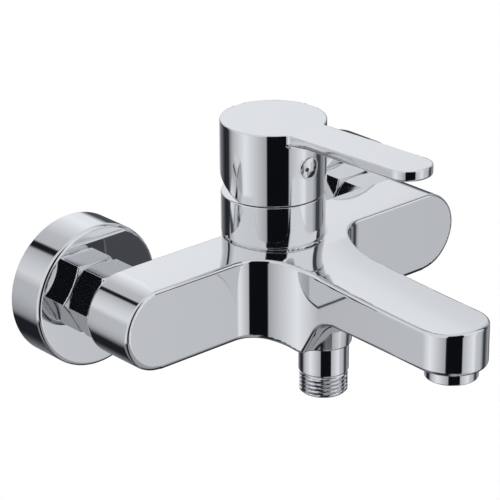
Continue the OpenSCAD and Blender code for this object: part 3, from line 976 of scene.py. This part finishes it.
def shown(grey):
    """Light, slightly cool, that a chrome mirror shows as this grey."""
    chrome_share = 0.87
    cool = (grey - 0.008, grey, grey + 0.016)
    return (*[((part + 0.055) / 1.055) ** 2.4 / chrome_share for part in cool], 1)


def ramp(nodes, table):
    """A colour ramp over azimuth from a table of panels."""
    node = nodes.new("ShaderNodeValToRGB")
    stops = [stop for a, grey_a, b, grey_b in table for stop in ((a, grey_a), (b, grey_b))]
    elements = node.color_ramp.elements
    while len(elements) < len(stops):
        elements.new(0.5)
    for element, (azimuth, _) in zip(elements, stops):
        element.position = azimuth / 360 + 0.5
    for element, (_, grey) in zip(elements, stops):
        element.color = shown(grey)
    return node


# What the mixer faces on each side: from and to an azimuth, with the grey at each end. 0 is
# straight out from the wall, 90 is the mixer's right, 180 is behind it.
PANELS = (
    (-180, 0.33, -170, 0.14),
    (-170, 0.14, -153, 0.17),
    (-148, 0.50, -138, 0.69),
    (-138, 0.69, -105, 0.88),
    (-105, 0.88, -57, 0.62),
    (-56, 0.05, -9, 0.05),
    (-8, 0.68, 28, 0.88),
    (28, 0.88, 36, 0.75),
    (36, 0.75, 52, 0.71),
    (52, 0.71, 63, 0.50),
    (66, 0.24, 77, 0.24),
    (83, 0.44, 102, 0.62),
    (108, 0.34, 146, 0.28),
    (150, 0.78, 158, 0.66),
    (163, 0.50, 180, 0.33),
)
# The same below it: mid grey in front, and behind on both sides, with dark between.
BELOW = (
    (-180, 0.22, -172, 0.12),
    (-172, 0.12, -152, 0.12),
    (-145, 0.50, -100, 0.45),
    (-88, 0.13, -48, 0.12),
    (-34, 0.58, 46, 0.58),
    (54, 0.16, 120, 0.14),
    (135, 0.36, 160, 0.45),
    (166, 0.38, 180, 0.22),
)
# The same above it: light all round, apart from three dark panels.
ABOVE = (
    (-180, 0.72, -163, 0.70),
    (-161, 0.10, -155, 0.10),
    (-153, 0.66, -136, 0.84),
    (-136, 0.84, -57, 0.80),
    (-56, 0.06, -9, 0.06),
    (-8, 0.85, 62, 0.85),
    (66, 0.22, 77, 0.22),
    (83, 0.60, 130, 0.82),
    (134, 0.86, 143, 0.88),
    (148, 0.91, 157, 0.85),
    (157, 0.85, 180, 0.72),
)
TOP_GREY = 0.80
# Elevations over which one table gives way to the next: below, sides, above, the plain top.
TO_SIDES, TO_ABOVE, TO_TOP = (-33, -28), (3, 12), (46, 60)
# The grey that light reflected twice sees in place of the side's black panel, between two
# azimuths and fading out over a stretch of elevation.
LIT_TWICE = 0.77
LIT_TWICE_AZIMUTHS = -58.5, -6.5
LIT_TWICE_FADES = -18, -12


class Sky:
    """The tent's shade being put together from nodes."""

    def __init__(self, tree):
        self.nodes, self.link = tree.nodes, tree.links.new
        self.nodes.clear()
        way = self.nodes.new("ShaderNodeVectorMath")
        way.operation = "NORMALIZE"
        self.link(self.nodes.new("ShaderNodeTexCoord").outputs["Object"], way.inputs[0])
        round_about = self.nodes.new("ShaderNodeTexGradient")
        round_about.gradient_type = "RADIAL"
        self.link(way.outputs[0], round_about.inputs[0])
        self.azimuth = round_about.outputs["Fac"]
        parts = self.nodes.new("ShaderNodeSeparateXYZ")
        self.link(way.outputs[0], parts.inputs[0])
        climb = self.nodes.new("ShaderNodeMath")
        climb.operation = "ARCSINE"
        self.link(parts.outputs["Z"], climb.inputs[0])
        self.elevation = climb.outputs[0]

    def between(self, value, start, end):
        """0 below the start, 1 above the end."""
        node = self.nodes.new("ShaderNodeMapRange")
        node.inputs["From Min"].default_value, node.inputs["From Max"].default_value = start, end
        self.link(value, node.inputs["Value"])
        return node.outputs[0]

    def above(self, start, end):
        """0 below one elevation in degrees, 1 above the other."""
        return self.between(self.elevation, math.radians(start), math.radians(end))

    def past(self, azimuth):
        """0 before an azimuth in degrees, 1 after it."""
        start, end = [(azimuth + step) / 360 + 0.5 for step in (-1, 1)]
        return self.between(self.azimuth, start, end)

    def joined(self, operation, first, second):
        node = self.nodes.new("ShaderNodeMath")
        node.operation = operation
        node.use_clamp = True
        self.link(first, node.inputs[0])
        self.link(second, node.inputs[1])
        return node.outputs[0]

    def mixed(self, share, first, second):
        node = self.nodes.new("ShaderNodeMix")
        node.data_type = "RGBA"
        self.link(share, node.inputs["Factor"])
        self.link(first, node.inputs["A"])
        self.link(second, node.inputs["B"])
        return node.outputs["Result"]

    def table(self, stops):
        node = ramp(self.nodes, stops)
        self.link(self.azimuth, node.inputs["Fac"])
        return node.outputs["Color"]

    def plain(self, grey):
        node = self.nodes.new("ShaderNodeRGB")
        node.outputs[0].default_value = shown(grey)
        return node.outputs[0]

    def lit_twice(self):
        """1 where light reflected twice sees plain grey, 0 elsewhere."""
        depth = self.nodes.new("ShaderNodeLightPath").outputs["Ray Depth"]
        left, right = [self.past(azimuth) for azimuth in LIT_TWICE_AZIMUTHS]
        share = self.joined("MULTIPLY", self.between(depth, 1.4, 1.6), left)
        share = self.joined("SUBTRACT", share, right)
        return self.joined("SUBTRACT", share, self.above(*LIT_TWICE_FADES))

    def finish(self):
        """The whole shade, as an emission."""
        side = self.mixed(self.lit_twice(), self.table(PANELS), self.plain(LIT_TWICE))
        shade = self.mixed(self.above(*TO_SIDES), self.table(BELOW), side)
        shade = self.mixed(self.above(*TO_ABOVE), shade, self.table(ABOVE))
        shade = self.mixed(self.above(*TO_TOP), shade, self.plain(TOP_GREY))
        shine = self.nodes.new("ShaderNodeEmission")
        self.link(shade, shine.inputs["Color"])
        out = self.nodes.new("ShaderNodeOutputMaterial")
        self.link(shine.outputs[0], out.inputs[0])


def light_tent():
    """A round tent of soft light with a few dark panels. Only reflections can see it."""
    bpy.ops.mesh.primitive_uv_sphere_add(
        segments=64, ring_count=32, radius=2.5, location=(0, -0.08, 0.01)
    )
    tent = bpy.context.object
    tent.name = "light_tent"
    tent.rotation_euler = (0, 0, -math.pi / 2)
    material = bpy.data.materials.new("light_tent")
    material.use_nodes = True
    Sky(material.node_tree).finish()
    tent.data.materials.append(material)
    tent.visible_camera = tent.visible_diffuse = tent.visible_shadow = False


def floor():
    """A plain pale floor well below the mixer, too pale and too far for its shadow to show."""
    bpy.ops.mesh.primitive_plane_add(size=40, location=(0, 0, -1.5))
    ground = bpy.context.object
    ground.name = "floor"
    pale = Paint("floor_pale", (0.96, 0.96, 0.955), 0, 0.9)
    pale.tint(pale.noise(2, 2), (0.955, 0.955, 0.95), (0.965, 0.965, 0.96))
    ground.data.materials.append(pale.material)
    ground.visible_glossy = False


def room():
    world = bpy.data.worlds.new("studio")
    bpy.context.scene.world = world
    world.use_nodes = True
    background = world.node_tree.nodes["Background"]
    background.inputs["Color"].default_value = (1, 1, 1, 1)
    background.inputs["Strength"].default_value = 1.05
    bpy.context.scene.view_settings.view_transform = "Standard"
    floor()
    light_tent()


# ---- putting it together ----


def build(made):
    c, h = Casting, Handle
    polished = made["polished_chrome"]
    casting = skin("body_casting_skin", casting_distance, c.low, c.high, 0.8)
    stands_for(casting, "fixed_body", "body_casting", polished)
    grip = skin("handle_skin", handle_distance, h.low, h.high, 0.6)
    stands_for(grip, "lever", "handle", polished)
    sleeve(polished)
    index_plug(polished, {"hot": made["hot_enamel"], "cold": made["cold_enamel"]})
    index_hole_rim(polished)
    shower_nipple(polished)
    aerator_housing(polished)
    for side, word in ((-1, "left"), (1, "right")):
        wall_fittings(side, word, made)
        escutcheon(side, "escutcheon_" + word, made["mirror_chrome"])


materials = make_materials()
dress_cad_nodes(materials)
build(materials)
camera()
room()
